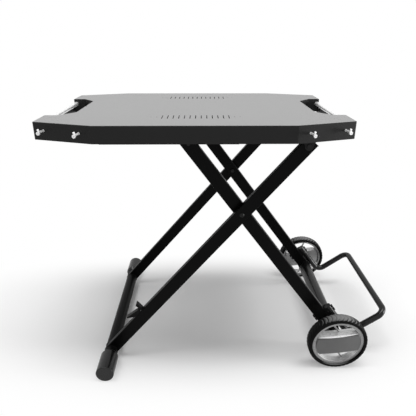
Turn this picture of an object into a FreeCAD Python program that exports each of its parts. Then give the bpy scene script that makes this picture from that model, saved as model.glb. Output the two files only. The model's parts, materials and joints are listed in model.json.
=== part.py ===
import FreeCAD, Part
import math
import os
import re
import Sketcher

# Folding outdoor oven table: a sheet-steel tray top on two crossed pairs of
# legs, with a foot tube at one end, an axle with two wheels at the other, and
# a bent stand tube beside the wheels. Millimetres, X along the table towards
# the wheels, Z up, origin on the floor under the middle of the whole outline.

Vector = FreeCAD.Vector
Rotation = FreeCAD.Rotation
Placement = FreeCAD.Placement

doc = FreeCAD.newDocument("FoldingOvenTable")

# Driving dimensions

SIZES = [
    # table top
    ("top_length", 900),
    ("top_width", 600),
    ("top_height", 842),
    ("skirt_depth", 50),
    ("sheet_gauge", 1.5),
    ("corner_length", 173.5),
    ("corner_width", 54.5),
    ("corner_round", 5),
    ("edge_round", 2.5),
    # hand openings at both ends and the grip tubes in them
    ("window_depth", 82),
    ("window_half", 152),
    ("window_bevel_x", 42),
    ("window_bevel_y", 47),
    ("window_drop", 24.8),
    ("flange_depth", 46),
    ("bend_round", 1.2),
    ("relief_width", 4),
    ("relief_depth", 5),
    ("grip_radius", 7.5),
    ("grip_hole", 2.5),
    ("grip_drop", 17),
    # two rows of punched slots
    ("slot_width", 2.5),
    ("slot_length", 46),
    ("slot_pitch", 16.2),
    ("slot_row", 182),
    # ribs and rails under the top
    ("rib_offset", 215),
    ("rib_width", 30),
    ("rib_depth", 18),
    ("rib_length", 290),
    ("rail_gauge", 2),
    ("rail_web", 172),
    ("rail_flange", 10),
    ("rail_seat_flange", 22),
    ("rail_hang", 12),
    ("rail_tail", 60),
    ("rail_nose", 152),
    ("slot_rise", 2.6),
    ("slot_ramp", 80),
    ("clip_gauge", 1.2),
    ("clip_width", 10),
    ("clip_arm", 9),
    ("bracket_gap", 1),
    ("bracket_gauge", 3),
    ("bracket_width", 70),
    ("bracket_round", 13),
    ("bracket_flange", 25),
    # legs
    ("leg_deep", 42),
    ("leg_thick", 20),
    ("leg_wall", 1.5),
    ("leg_corner", 3),
    ("leg_end", 16),
    ("leg_gap", 1.8),
    ("outer_leg_y", 227),
    ("outer_leg_length", 971),
    ("pivot_distance", 286),
    ("inner_leg_lower", 561),
    ("hinge_x", 324.8),
    ("fold_clearance", 2),
    ("plug_depth", 8),
    ("plug_lip", 2),
    # foot tube, axle tube and foot caps
    ("tube_radius", 21.5),
    ("axle_tube_radius", 24),
    ("tube_wall", 2),
    ("cap_radius", 29.5),
    ("cap_length", 91),
    ("cap_taper", 10),
    ("cap_end", 10),
    ("cap_round", 3),
    ("foot_reach", 346),
    ("axle_washer", 3.2),
    # pins, bolts and fits
    ("pin_radius", 4),
    ("rod_radius", 5),
    ("run_fit", 0.05),
    ("seat_gap", 0.3),
    ("washer_thick", 1.5),
    ("head_radius", 7.5),
    ("head_height", 4.5),
    ("nut_height", 6.5),
    # wheels
    ("wheel_radius", 100),
    ("wheel_y", 277),
    ("tyre_half", 20),
    ("tyre_seat", 14),
    ("tyre_crown", 16),
    ("tread_lean", 9),
    ("tread_groove", 3),
    ("tread_depth", 2.5),
    ("rim_radius", 86),
    ("rim_half", 14),
    ("rim_wall", 6.5),
    ("lip_width", 9.5),
    ("lip_thick", 3),
    ("band_half", 35),
    ("band_front", 20),
    ("band_back", 13),
    ("band_bevel", 4),
    ("band_bow", 6),
    ("strut_width", 4),
    ("strut_lean", 30),
    ("strut_foot", 27),
    ("hub_radius", 15),
    ("hub_reach", 25.5),
    ("hub_face", 13),
    ("bush_outside", 8.5),
    ("axle_radius", 6),
    ("axle_nut_height", 6),
    ("plate_thick", 2.5),
    ("plate_margin", 3),
    ("wheel_turn", 7),
    # bent stand tube
    ("stand_radius", 11),
    ("stand_wall", 1.5),
    ("stand_gap", 0.5),
    ("stand_start", 86),
    ("stand_drop", 60),
    ("stand_height", 184.5),
    ("stand_bend", 30),
    ("saddle_length", 38),
    ("bolt_radius", 3),
    ("bolt_spacing", 15),
    ("bolt_from_axle", 61),
    # spring catch on the near outer leg
    ("catch_x", 200),
    ("catch_width", 16),
    # tool hooks
    ("hook_first", 34),
    ("hook_second", 145),
    ("hook_drop", 23),
    ("hook_radius", 3),
    ("hook_reach", 22),
    ("hook_disc", 5),
    ("hook_finger", 8.5),
    ("hook_lean", 25),
]

# Sizes that follow from the ones above: heights of the pivots, the slopes of
# the two pairs of legs, and where every pivot stands from the table's middle

DERIVED = [
    ("hinge_z", "top_height - skirt_depth - leg_deep / 2 - fold_clearance"),
    ("sin_out", "(hinge_z - cap_radius) / outer_leg_length"),
    ("cos_out", "sqrt(1 - sin_out * sin_out)"),
    ("foot_x", "hinge_x - outer_leg_length * cos_out"),
    ("pivot_x", "hinge_x - pivot_distance * cos_out"),
    ("pivot_z", "hinge_z - pivot_distance * sin_out"),
    ("sin_in", "(pivot_z - wheel_radius) / inner_leg_lower"),
    ("cos_in", "sqrt(1 - sin_in * sin_in)"),
    ("axle_x", "pivot_x + inner_leg_lower * cos_in"),
    ("inner_leg_upper", "(hinge_z - pivot_z) / sin_in"),
    ("slide_x", "pivot_x - inner_leg_upper * cos_in"),
    ("slide_folded_x", "hinge_x - pivot_distance - inner_leg_upper"),
    ("axle_reach", "wheel_y + hub_face + seat_gap + axle_nut_height"),
    ("axle_tube_reach", "wheel_y - hub_reach - seat_gap - axle_washer"),
    ("stand_rise", "axle_tube_radius + stand_radius + stand_gap"),
    ("band_curve", "rim_radius * rim_radius / (2 * band_bow) + band_bow / 2"),
    ("stand_x", "axle_x + stand_drop * cos_in + stand_height * sin_in"),
    ("middle_x", "(top_length / 2 - stand_x - stand_radius) / 2"),
    ("inner_leg_y", "outer_leg_y - leg_thick - leg_gap"),
    ("sheet_under", "top_height - sheet_gauge"),
]

sheet = doc.addObject("Spreadsheet::Sheet", "Sizes")
for row, (alias, value) in enumerate(SIZES + DERIVED, start=1):
    sheet.set("A%d" % row, alias)
    sheet.set("B%d" % row, "=" + value if isinstance(value, str) else str(value))
    sheet.setAlias("B%d" % row, alias)
doc.recompute()

ALIASES = {alias for alias, _ in SIZES + DERIVED}


class Size:
    """The sheet's values, read by name."""


size = Size()
for alias in ALIASES:
    setattr(size, alias, float(sheet.get(alias)))


def bound(text):
    """Turn a formula of size names into one that points at the sheet."""
    return re.sub(
        r"[a-z_]+",
        lambda m: "Sizes." + m.group(0) if m.group(0) in ALIASES else m.group(0),
        str(text),
    )


def bind(obj, prop, value):
    """Give a property a number, or tie it to the sheet by a formula."""
    if isinstance(value, str):
        obj.setExpression(prop, bound(value))
    elif "." not in prop:
        setattr(obj, prop, value)
    else:
        obj.setExpression(prop, repr(float(value)))


# Part primitives and booleans

AXIS_TURN = {
    "X": Rotation(Vector(0, 1, 0), 90),
    "Y": Rotation(Vector(1, 0, 0), -90),
    "Z": Rotation(),
}

counter = [0]


def make(kind, name):
    """Add a document object with a name of its own."""
    counter[0] += 1
    return doc.addObject(kind, "%s_%d" % (name, counter[0]))


def locate(obj, at, turn):
    """Put a primitive at formulas for X, Y and Z after turning it."""
    obj.Placement = Placement(Vector(), turn)
    for axis, value in zip("xyz", at):
        bind(obj, "Placement.Base." + axis, value)


def box(at, length, width, height):
    """A block whose lowest corner is at the given place."""
    obj = make("Part::Box", "Block")
    bind(obj, "Length", length)
    bind(obj, "Width", width)
    bind(obj, "Height", height)
    locate(obj, at, Rotation())
    return obj


def cylinder(at, radius, height, axis="Z"):
    """A round bar that starts at the given place and runs along an axis."""
    obj = make("Part::Cylinder", "Bar")
    bind(obj, "Radius", radius)
    bind(obj, "Height", height)
    locate(obj, at, AXIS_TURN[axis])
    return obj


def cone(at, radius, end_radius, height, axis="Z"):
    """A tapered round bar that starts at the given place."""
    obj = make("Part::Cone", "Taper")
    bind(obj, "Radius1", radius)
    bind(obj, "Radius2", end_radius)
    bind(obj, "Height", height)
    locate(obj, at, AXIS_TURN[axis])
    return obj


def hexagon(at, radius, height, axis="Z"):
    """A six-sided bar for nuts and bolt heads."""
    obj = make("Part::Prism", "Hexagon")
    obj.Polygon = 6
    bind(obj, "Circumradius", radius)
    bind(obj, "Height", height)
    locate(obj, at, AXIS_TURN[axis])
    return obj


def cut(base, tool):
    """One solid less another."""
    obj = make("Part::Cut", "Less")
    obj.Base = base
    obj.Tool = tool
    return obj


def fuse(*shapes):
    """Several solids as one."""
    obj = make("Part::MultiFuse", "Joined")
    obj.Shapes = list(shapes)
    obj.Refine = True
    return obj


def common(base, tool):
    """What two solids share."""
    obj = make("Part::Common", "Shared")
    obj.Base = base
    obj.Tool = tool
    return obj


def group(*shapes):
    """Several separate solids that are handled as one set."""
    obj = make("Part::Compound", "Set")
    obj.Links = list(shapes)
    return obj


# PartDesign bodies

class Pieces:
    """A PartDesign body with short calls for its sketches and features."""

    def __init__(self, label):
        self.body = doc.addObject("PartDesign::Body", "Body_" + label)
        self.label = label

    def plane(self, role):
        """One of the body's own origin planes or axes."""
        return [f for f in self.body.Origin.OriginFeatures if f.Role == role][0]

    def sketch(self, role):
        """An empty sketch on one of the body's origin planes."""
        sketch = self.body.newObject("Sketcher::SketchObject", self.label + "_sketch")
        sketch.AttachmentSupport = [(self.plane(role), "")]
        sketch.MapMode = "FlatFace"
        return sketch

    def outline(self, role, corners):
        """A closed outline of straight lines through corners given as formulas."""
        sketch = self.sketch(role)
        self.add_outline(sketch, corners)
        return sketch

    def add_outline(self, sketch, corners):
        """Add one closed outline to a sketch."""
        first = sketch.GeometryCount
        spots = [(solve(x), solve(y)) for x, y in corners]
        count = len(spots)
        for i in range(count):
            start = Vector(spots[i][0], spots[i][1], 0)
            end = Vector(spots[(i + 1) % count][0], spots[(i + 1) % count][1], 0)
            sketch.addGeometry(Part.LineSegment(start, end), False)
        for i in range(count):
            sketch.addConstraint(
                Sketcher.Constraint("Coincident", first + i, 2, first + (i + 1) % count, 1)
            )
        for i in range(count):
            self.pin(sketch, first + i, 1, corners[i], spots[i])

    def pin(self, sketch, geometry, point, corner, spot):
        """Hold one point of a sketch at a place given by two formulas."""
        for kind, formula, value in zip(("DistanceX", "DistanceY"), corner, spot):
            index = sketch.addConstraint(Sketcher.Constraint(kind, -1, 1, geometry, point, value))
            if isinstance(formula, str):
                sketch.setExpression("Constraints[%d]" % index, bound(formula))

    def circles(self, role, rounds):
        """A sketch of circles, each given by centre and radius formulas."""
        sketch = self.sketch(role)
        for x, y, radius in rounds:
            centre = Vector(solve(x), solve(y), 0)
            index = sketch.addGeometry(Part.Circle(centre, Vector(0, 0, 1), solve(radius)), False)
            self.pin(sketch, index, 3, (x, y), (centre.x, centre.y))
            held = sketch.addConstraint(Sketcher.Constraint("Radius", index, solve(radius)))
            sketch.setExpression("Constraints[%d]" % held, bound(str(radius)))
        return sketch

    def pad(self, sketch, length, backwards=False):
        """Grow a sketch into a solid."""
        pad = self.body.newObject("PartDesign::Pad", self.label + "_pad")
        pad.Profile = sketch
        pad.Reversed = backwards
        bind(pad, "Length", length)
        doc.recompute()
        return pad

    def centred_pad(self, sketch, length):
        """Grow a sketch evenly to both sides."""
        pad = self.body.newObject("PartDesign::Pad", self.label + "_pad")
        pad.Profile = sketch
        pad.SideType = "Symmetric"
        bind(pad, "Length", length)
        doc.recompute()
        return pad

    def pocket(self, sketch, depth=None, symmetric=False):
        """Cut a sketch into the solid: to a depth, or right through both ways."""
        before = self.body.Shape.Volume
        pocket = self.body.newObject("PartDesign::Pocket", self.label + "_pocket")
        pocket.Profile = sketch
        if depth is None or symmetric:
            pocket.SideType = "Symmetric"
        if depth is None:
            pocket.Type = "ThroughAll"
        else:
            bind(pocket, "Length", depth)
        doc.recompute()
        if self.body.Shape.Volume > before - 1e-3:
            raise RuntimeError(self.label + ": a pocket cuts nothing")
        return pocket

    def revolve(self, sketch, axis_role):
        """Turn a sketch all the way round one of the body's axes."""
        turned = self.body.newObject("PartDesign::Revolution", self.label + "_turned")
        turned.Profile = sketch
        turned.ReferenceAxis = (self.plane(axis_role), [""])
        turned.Angle = 360
        doc.recompute()
        return turned

    def fillet(self, chosen, radius):
        """Round the edges that a test picks."""
        base = self.body.Tip
        names = [
            "Edge%d" % (i + 1) for i, edge in enumerate(base.Shape.Edges) if chosen(edge)
        ]
        fillet = self.body.newObject("PartDesign::Fillet", self.label + "_round")
        fillet.Base = (base, names)
        bind(fillet, "Radius", radius)
        doc.recompute()
        return fillet


def solve(formula):
    """The present value of a formula of size names."""
    if not isinstance(formula, str):
        return float(formula)
    probe.setExpression("Length", bound(formula) + " + 100000")
    doc.recompute([probe])
    return float(probe.Length) - 100000


probe = doc.addObject("App::FeaturePython", "Probe")
probe.addProperty("App::PropertyFloat", "Length")


def runs_along(edge, axis, least):
    """Whether an edge is straight, points along an axis and is long enough."""
    if edge.Curve.TypeId != "Part::GeomLine" or edge.Length < least:
        return False
    return abs(abs(edge.tangentAt(edge.FirstParameter).dot(axis)) - 1) < 1e-6


# Where finished sub-parts stand

LEAN_OUT = math.degrees(math.asin(size.sin_out))
LEAN_IN = math.degrees(math.asin(size.sin_in))
CENTRE = Vector(0, 0, 0)
AXLE_LINE = Vector(0, 1, 0)

STATIONS = {
    "table": (("middle_x", 0, 0), Rotation()),
    "outer": (("middle_x + foot_x", 0, "cap_radius"), Rotation(AXLE_LINE, -LEAN_OUT)),
    "inner": (("middle_x + axle_x", 0, "wheel_radius"), Rotation(AXLE_LINE, LEAN_IN)),
    "near": (
        ("middle_x + axle_x", "-wheel_y", "wheel_radius"),
        Rotation(AXLE_LINE, -size.wheel_turn),
    ),
    "far": (
        ("middle_x + axle_x", "wheel_y", "wheel_radius"),
        Rotation(AXLE_LINE, -size.wheel_turn).multiply(Rotation(Vector(0, 0, 1), 180)),
    ),
}

finished = []


def finish(obj, label, station):
    """Name a finished sub-part and put it in its place on the table."""
    if isinstance(obj, Pieces):
        obj = obj.body
    at, turn = STATIONS[station]
    locate(obj, at, turn)
    obj.Label = label
    finished.append(obj)
    return obj


def mirrored(obj):
    """The same solid on the other side of the table's middle plane."""
    other = make("Part::Mirroring", "Other_side")
    other.Source = obj
    other.Base = CENTRE
    other.Normal = AXLE_LINE
    return other


def both(obj):
    """A near solid and its far twin as one set."""
    return group(obj, mirrored(obj))


# Table top: one folded tray with eight sides

def tray():
    """The tray with its hand openings, folded flanges, slots and holes."""
    top = Pieces("table_top")
    end = "top_length / 2"
    side = "top_width / 2"
    brk = "(top_length / 2 - corner_length)"
    cor = "(top_width / 2 - corner_width)"
    corners = [
        (brk, "-" + side),
        (end, "-" + cor),
        (end, cor),
        (brk, side),
        ("-" + brk, side),
        ("-" + end, cor),
        ("-" + end, "-" + cor),
        ("-" + brk, "-" + side),
    ]
    outline = top.outline("XY_Plane", corners)
    raise_sketch(outline, "top_height - skirt_depth")
    top.pad(outline, "skirt_depth")
    up = Vector(0, 0, 1)
    top.fillet(lambda e: runs_along(e, up, size.skirt_depth - 1), "corner_round")
    top.fillet(lambda e: e.CenterOfMass.z > size.top_height - 1e-3, "edge_round")
    hollow(top, "sheet_gauge")
    for way in ("", "-"):
        window(top, way)
    round_mouths(top)
    slots(top, "-slot_row")
    slots(top, "slot_row")
    end_holes(top)
    for way in ("", "-"):
        grip = "%s(top_length / 2 - grip_radius)" % way
        holes = top.circles("XZ_Plane", [(grip, "top_height - grip_drop", "grip_hole")])
        top.pocket(holes, "window_half * 2 + 6", symmetric=True)
    return top


def raise_sketch(sketch, height):
    """Lift a sketch off its plane by a formula."""
    sketch.setExpression("AttachmentOffset.Base.z", bound(height))


def hollow(top, gauge):
    """Leave a sheet of even gauge, open underneath."""
    tip = top.body.Tip
    floor = [
        "Face%d" % (i + 1)
        for i, face in enumerate(tip.Shape.Faces)
        if abs(face.CenterOfMass.z - (size.top_height - size.skirt_depth)) < 1e-3
    ]
    shell = top.body.newObject("PartDesign::Thickness", "table_top_shell")
    shell.Base = (tip, floor)
    shell.Reversed = True
    shell.Mode = 0
    shell.Join = 0
    bind(shell, "Value", gauge)
    doc.recompute()


def window_outline(way, mouth, grown):
    """Corners of a hand opening, or of its flanges grown by the sheet gauge."""
    g = "sheet_gauge" if grown else "0"
    slant = "sqrt(window_bevel_x^2 + window_bevel_y^2)"
    back = "(top_length / 2 - window_depth - %s)" % g
    low = "(window_half - window_bevel_y + %s * (%s - window_bevel_y) / window_bevel_x)" % (g, slant)
    mid = (
        "(top_length / 2 - window_depth"
        " + (window_bevel_x * (window_bevel_y + %s) - %s * %s) / window_bevel_y)" % (g, g, slant)
    )
    high = "(window_half + %s)" % g
    points = [
        (back, "-" + low),
        (mid, "-" + high),
        (mouth, "-" + high),
        (mouth, high),
        (mid, high),
        (back, low),
    ]
    return [(way + x, y) for x, y in points]


def window(top, way):
    """One hand opening in the sheet, with flanges folded down round it."""
    inside = "(top_length / 2 - sheet_gauge)"
    outside = "(top_length / 2 + 5)"
    flange = top.outline(
        "XY_Plane", window_outline(way, "(top_length / 2 - sheet_gauge / 2)", True)
    )
    raise_sketch(flange, "top_height - flange_depth")
    top.pad(flange, "flange_depth - sheet_gauge / 2")
    deep = top.outline("XY_Plane", window_outline(way, inside, False))
    raise_sketch(deep, "top_height + 1")
    top.pocket(deep, "flange_depth + 2")
    mouth = top.outline("XY_Plane", window_outline(way, outside, False))
    raise_sketch(mouth, "top_height + 1")
    top.pocket(mouth, "window_drop + 1")
    back = "(top_length / 2 - window_depth + 1)"
    far = "(top_length / 2 - window_depth - relief_depth)"
    half = "relief_width / 2"
    notch = top.outline(
        "XY_Plane",
        [(way + x, y) for x, y in ((far, "-" + half), (back, "-" + half), (back, half), (far, half))],
    )
    raise_sketch(notch, "top_height + 1")
    top.pocket(notch, "flange_depth + 2")


def round_mouths(top):
    """Round the bends where the flanges leave the sheet."""
    level = size.top_height
    reach = size.top_length / 2 - size.window_depth

    def on_mouth(edge):
        box_of = edge.BoundBox
        if abs(box_of.ZMin - level) > 1e-4 or abs(box_of.ZMax - level) > 1e-4:
            return False
        near_middle = max(abs(box_of.YMin), abs(box_of.YMax)) < size.window_half + 0.01
        inside = min(abs(box_of.XMin), abs(box_of.XMax)) > reach - 0.01
        clear = max(abs(box_of.XMin), abs(box_of.XMax)) < size.top_length / 2 - size.edge_round + 0.01
        return near_middle and inside and clear and edge.Length > 10

    top.fillet(on_mouth, "bend_round")


def slot_sketch(top, x, y):
    """One upright slot with round ends."""
    sketch = top.sketch("XY_Plane")
    half = "(slot_length - slot_width) / 2"
    left = "(%s) - slot_width / 2" % x
    right = "(%s) + slot_width / 2" % x
    low = "(%s) - %s" % (y, half)
    high = "(%s) + %s" % (y, half)
    lx, rx, ly, hy = (solve(v) for v in (left, right, low, high))
    radius = size.slot_width / 2
    sketch.addGeometry(Part.LineSegment(Vector(lx, hy, 0), Vector(lx, ly, 0)), False)
    sketch.addGeometry(
        Part.ArcOfCircle(
            Part.Circle(Vector(solve(x), ly, 0), Vector(0, 0, 1), radius), math.pi, 2 * math.pi
        ),
        False,
    )
    sketch.addGeometry(Part.LineSegment(Vector(rx, ly, 0), Vector(rx, hy, 0)), False)
    sketch.addGeometry(
        Part.ArcOfCircle(Part.Circle(Vector(solve(x), hy, 0), Vector(0, 0, 1), radius), 0, math.pi),
        False,
    )
    for first, end, second, start in ((0, 2, 1, 1), (1, 2, 2, 1), (2, 2, 3, 1), (3, 2, 0, 1)):
        sketch.addConstraint(Sketcher.Constraint("Tangent", first, end, second, start))
    top.pin(sketch, 0, 1, (left, high), (lx, hy))
    top.pin(sketch, 0, 2, (left, low), (lx, ly))
    index = sketch.addConstraint(Sketcher.Constraint("Radius", 1, radius))
    sketch.setExpression("Constraints[%d]" % index, bound("slot_width / 2"))
    return sketch


def slots(top, y):
    """A row of thirteen slots across the table."""
    count = 13
    sketch = slot_sketch(top, "-slot_pitch * %d" % (count // 2), y)
    raise_sketch(sketch, "top_height + 1")
    pocket = top.pocket(sketch, "sheet_gauge + 2")
    row = top.body.newObject("PartDesign::LinearPattern", "slot_row")
    row.Originals = [pocket]
    row.Direction = (top.plane("X_Axis"), [""])
    row.Occurrences = count
    bind(row, "Length", "slot_pitch * %d" % (count - 1))
    top.body.Tip = row
    doc.recompute()


def end_holes(top):
    """Two round holes beyond each end of both rows."""
    rounds = []
    for side in ("-", ""):
        for y in ("-slot_row", "slot_row"):
            rounds.append((side + "slot_pitch * 7", y, "slot_width * 0.8"))
            rounds.append((side + "slot_pitch * 8", y, "slot_width * 0.6"))
    sketch = top.circles("XY_Plane", rounds)
    raise_sketch(sketch, "top_height + 1")
    top.pocket(sketch, "sheet_gauge + 2")


# Tool hooks on the two slanted sides at the front

def hook_places():
    """Where each hook stands: X and Y formulas and the way it points."""
    slope = math.degrees(math.atan2(size.corner_width, size.corner_length))
    length = "sqrt(corner_length^2 + corner_width^2)"
    places = []
    for way, turn in (("", slope), ("-", -slope)):
        for step in ("hook_first", "hook_second"):
            x = "%s(top_length / 2 - corner_length * %s / %s)" % (way, step, length)
            y = "-(top_width / 2 - corner_width + corner_width * %s / %s)" % (step, length)
            places.append((x, y, Rotation(Vector(0, 0, 1), turn)))
    return places


def hook():
    """One hook seen from its own root: it points to -Y and turns up."""
    flange = cylinder((0, -1.5, 0), "hook_radius + 0.4", 1.5, "Y")
    stem = cylinder((0, "-hook_reach + hook_radius", 0), "hook_radius", "hook_reach - hook_radius - 1", "Y")
    elbow = make("Part::Sphere", "Elbow")
    bind(elbow, "Radius", "hook_radius")
    locate(elbow, (0, "-hook_reach + hook_radius", 0), Rotation())
    finger = cylinder((0, "-hook_reach + hook_radius", 0), "hook_radius", "hook_finger")
    finger.Placement = Placement(finger.Placement.Base, Rotation(Vector(1, 0, 0), size.hook_lean))
    bind(finger, "Placement.Base.y", "-hook_reach + hook_radius")
    disc = cylinder((0, "-hook_reach - 3.5", -2.5), "hook_disc", 4.5, "Y")
    dimple = cylinder((0, "-hook_reach - 4", -2.5), "hook_disc / 3", 2, "Y")
    stud = cylinder((0, -1, 0), "hook_radius - 0.5", "sheet_gauge + nut_height + 2", "Y")
    return cut(fuse(flange, stem, elbow, finger, disc, stud), dimple)


def hook_nut():
    """A nut behind the sheet for one hook."""
    nut = hexagon((0, "sheet_gauge", 0), 5.5, 4, "Y")
    return cut(nut, cylinder((0, 0, 0), "hook_radius - 0.5", 20, "Y"))


def on_hook_places(build):
    """The same piece at all four hook places."""
    pieces = []
    for x, y, turn in hook_places():
        piece = build()
        locate(piece, (x, y, "top_height - hook_drop"), turn)
        pieces.append(piece)
    return pieces


tray_body = tray()
hook_tools = on_hook_places(lambda: group(cylinder((0, -5, 0), "hook_radius - 0.5", 12, "Y")))
finish(cut(tray_body.body, group(*hook_tools)), "table_top", "table")
finish(group(*on_hook_places(hook)), "tool_hooks", "table")
finish(group(*on_hook_places(hook_nut)), "hook_nuts", "table")


# Grip bars in the hand openings, with a screw through the flange at each end

def grip_bar(way):
    """A bar across one hand opening with a blind screw hole at each end."""
    x = "%s(top_length / 2 - grip_radius)" % way
    z = "top_height - grip_drop"
    bar = cylinder((x, "-window_half", z), "grip_radius", "window_half * 2", "Y")
    near = cylinder((x, "-window_half", z), "grip_hole", 16, "Y")
    far = cylinder((x, "window_half - 16", z), "grip_hole", 16, "Y")
    return cut(bar, group(near, far))


def grip_screw(way):
    """The near screw of one grip bar."""
    x = "%s(top_length / 2 - grip_radius)" % way
    z = "top_height - grip_drop"
    head = cylinder((x, "-window_half - sheet_gauge - 2.5", z), 4, 2.5, "Y")
    shank = cylinder((x, "-window_half - sheet_gauge - 1", z), "grip_hole - run_fit", 15, "Y")
    socket = hexagon((x, "-window_half - sheet_gauge - 3", z), 1.7, 2, "Y")
    return cut(fuse(head, shank), socket)


finish(grip_bar("-"), "grip_bar_left", "table")
finish(grip_bar(""), "grip_bar_right", "table")
left_screw = grip_screw("-")
right_screw = grip_screw("")
finish(
    group(left_screw, mirrored(left_screw), right_screw, mirrored(right_screw)),
    "grip_screws",
    "table",
)


# Stiffening angles and slide rails under the sheet

def rib(way):
    """An angle section across the table, flange up against the sheet."""
    piece = Pieces("rib")
    x = "%srib_offset" % way
    points = [
        ("%s - rib_width / 2" % x, "sheet_under"),
        ("%s + rib_width / 2" % x, "sheet_under"),
        ("%s + rib_width / 2" % x, "sheet_under - rail_gauge"),
        ("%s + rail_gauge / 2" % x, "sheet_under - rail_gauge"),
        ("%s + rail_gauge / 2" % x, "sheet_under - rib_depth"),
        ("%s - rail_gauge / 2" % x, "sheet_under - rib_depth"),
        ("%s - rail_gauge / 2" % x, "sheet_under - rail_gauge"),
        ("%s - rib_width / 2" % x, "sheet_under - rail_gauge"),
    ]
    piece.centred_pad(piece.outline("XZ_Plane", points), "rib_length")
    return piece


def rail():
    """The near slide rail: a bent channel with a long slot for the rod."""
    piece = Pieces("slide_rail")
    web = "(rail_web - rail_gauge)"
    low = "hinge_z - rail_hang"
    points = [
        ("-rail_web", "sheet_under"),
        ("-rail_web", low),
        ("-rail_web + rail_flange", low),
        ("-rail_web + rail_flange", "%s + rail_gauge" % low),
        ("-%s" % web, "%s + rail_gauge" % low),
        ("-%s" % web, "sheet_under - rail_gauge"),
        ("-rail_web + rail_seat_flange", "sheet_under - rail_gauge"),
        ("-rail_web + rail_seat_flange", "sheet_under"),
    ]
    profile = piece.outline("YZ_Plane", points)
    profile.setExpression("AttachmentOffset.Base.z", bound("slide_folded_x - rail_tail"))
    piece.pad(profile, "slide_x - slide_folded_x + rail_tail + rail_nose")
    ease = "(rod_radius + seat_gap)"
    slot = piece.outline(
        "XZ_Plane",
        [
            ("slide_folded_x - %s" % ease, "hinge_z - %s" % ease),
            ("slide_x + %s" % ease, "hinge_z - %s" % ease),
            ("slide_x + %s" % ease, "hinge_z + %s" % ease),
            ("slide_x", "hinge_z + %s" % ease),
            ("slide_x - slot_ramp", "hinge_z + %s + slot_rise" % ease),
            ("slide_folded_x - %s" % ease, "hinge_z + %s + slot_rise" % ease),
        ],
    )
    piece.pocket(slot)
    return piece


def clip():
    """A spring cradle on the near rail that keeps the rod at its open end."""
    piece = Pieces("slide_clip")
    inner = "(rod_radius + seat_gap)"
    outer = "(rod_radius + seat_gap + clip_gauge)"
    points = [
        ("slide_x - clip_arm - 3", "hinge_z - %s - 3" % inner),
        ("slide_x - clip_arm", "hinge_z - %s" % inner),
        ("slide_x + %s" % inner, "hinge_z - %s" % inner),
        ("slide_x + %s" % inner, "hinge_z + %s" % inner),
        ("slide_x", "hinge_z + %s" % inner),
        ("slide_x - clip_arm", "hinge_z + %s + 0.8" % inner),
        ("slide_x - clip_arm - 3", "hinge_z + %s + 3.5" % inner),
        ("slide_x - clip_arm - 3", "hinge_z + %s + 3.5 + clip_gauge" % inner),
        ("slide_x - clip_arm", "hinge_z + %s + 0.8" % outer),
        ("slide_x + %s" % outer, "hinge_z + %s + 0.8" % outer),
        ("slide_x + %s" % outer, "hinge_z - %s" % outer),
        ("slide_x - clip_arm", "hinge_z - %s" % outer),
        ("slide_x - clip_arm - 3", "hinge_z - %s - 3" % outer),
    ]
    profile = piece.outline("XZ_Plane", points)
    profile.setExpression("AttachmentOffset.Base.z", bound("rail_web - rail_gauge"))
    piece.pad(profile, "clip_width", backwards=True)
    return piece


def bracket():
    """The near hinge bracket: a plate with a flange up against the sheet."""
    piece = Pieces("hinge_bracket")
    inner = "(outer_leg_y + leg_thick / 2 + bracket_gap)"
    half = "bracket_width / 2"
    points = [
        ("hinge_x - %s" % half, "sheet_under"),
        ("hinge_x - %s" % half, "sheet_under - 14"),
        ("hinge_x - bracket_round", "hinge_z"),
        ("hinge_x - bracket_round", "hinge_z - bracket_round"),
        ("hinge_x + bracket_round", "hinge_z - bracket_round"),
        ("hinge_x + bracket_round", "hinge_z"),
        ("hinge_x + %s" % half, "sheet_under - 14"),
        ("hinge_x + %s" % half, "sheet_under"),
    ]
    profile = piece.outline("XZ_Plane", points)
    profile.setExpression("AttachmentOffset.Base.z", bound(inner))
    piece.pad(profile, "bracket_gauge")
    across = Vector(0, 1, 0)
    piece.fillet(
        lambda e: runs_along(e, across, 1)
        and e.CenterOfMass.z < size.hinge_z - size.bracket_round + 0.1,
        "bracket_round - 0.5",
    )
    hole = piece.circles("XZ_Plane", [("hinge_x", "hinge_z", "pin_radius")])
    piece.pocket(hole)
    flange = box(
        ("hinge_x - %s" % half, "-%s - bracket_flange" % inner, "sheet_under - bracket_gauge"),
        "bracket_width",
        "bracket_flange",
        "bracket_gauge",
    )
    return fuse(piece.body, flange)


def hinge_pin():
    """The near hinge pin, pressed into its bracket, flush inside the leg."""
    outer = "(outer_leg_y + leg_thick / 2 + bracket_gap + bracket_gauge)"
    head = cylinder(("hinge_x", "-%s - 3" % outer, "hinge_z"), "pin_radius + 2.5", 3, "Y")
    shank = cylinder(
        ("hinge_x", "-%s - 1" % outer, "hinge_z"),
        "pin_radius",
        "%s + 1 - outer_leg_y + leg_thick / 2" % outer,
        "Y",
    )
    return fuse(head, shank)


finish(rib("-"), "rib_left", "table")
finish(rib(""), "rib_right", "table")
finish(rail(), "slide_rail_near", "table")
finish(clip(), "slide_clip_near", "table")
finish(bracket(), "hinge_bracket_near", "table")
finish(mirrored(rail().body), "slide_rail_far", "table")
finish(mirrored(clip().body), "slide_clip_far", "table")
finish(mirrored(bracket()), "hinge_bracket_far", "table")
finish(both(hinge_pin()), "hinge_pins", "table")


# Legs: flat rectangular tube, their own X along the tube

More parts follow.
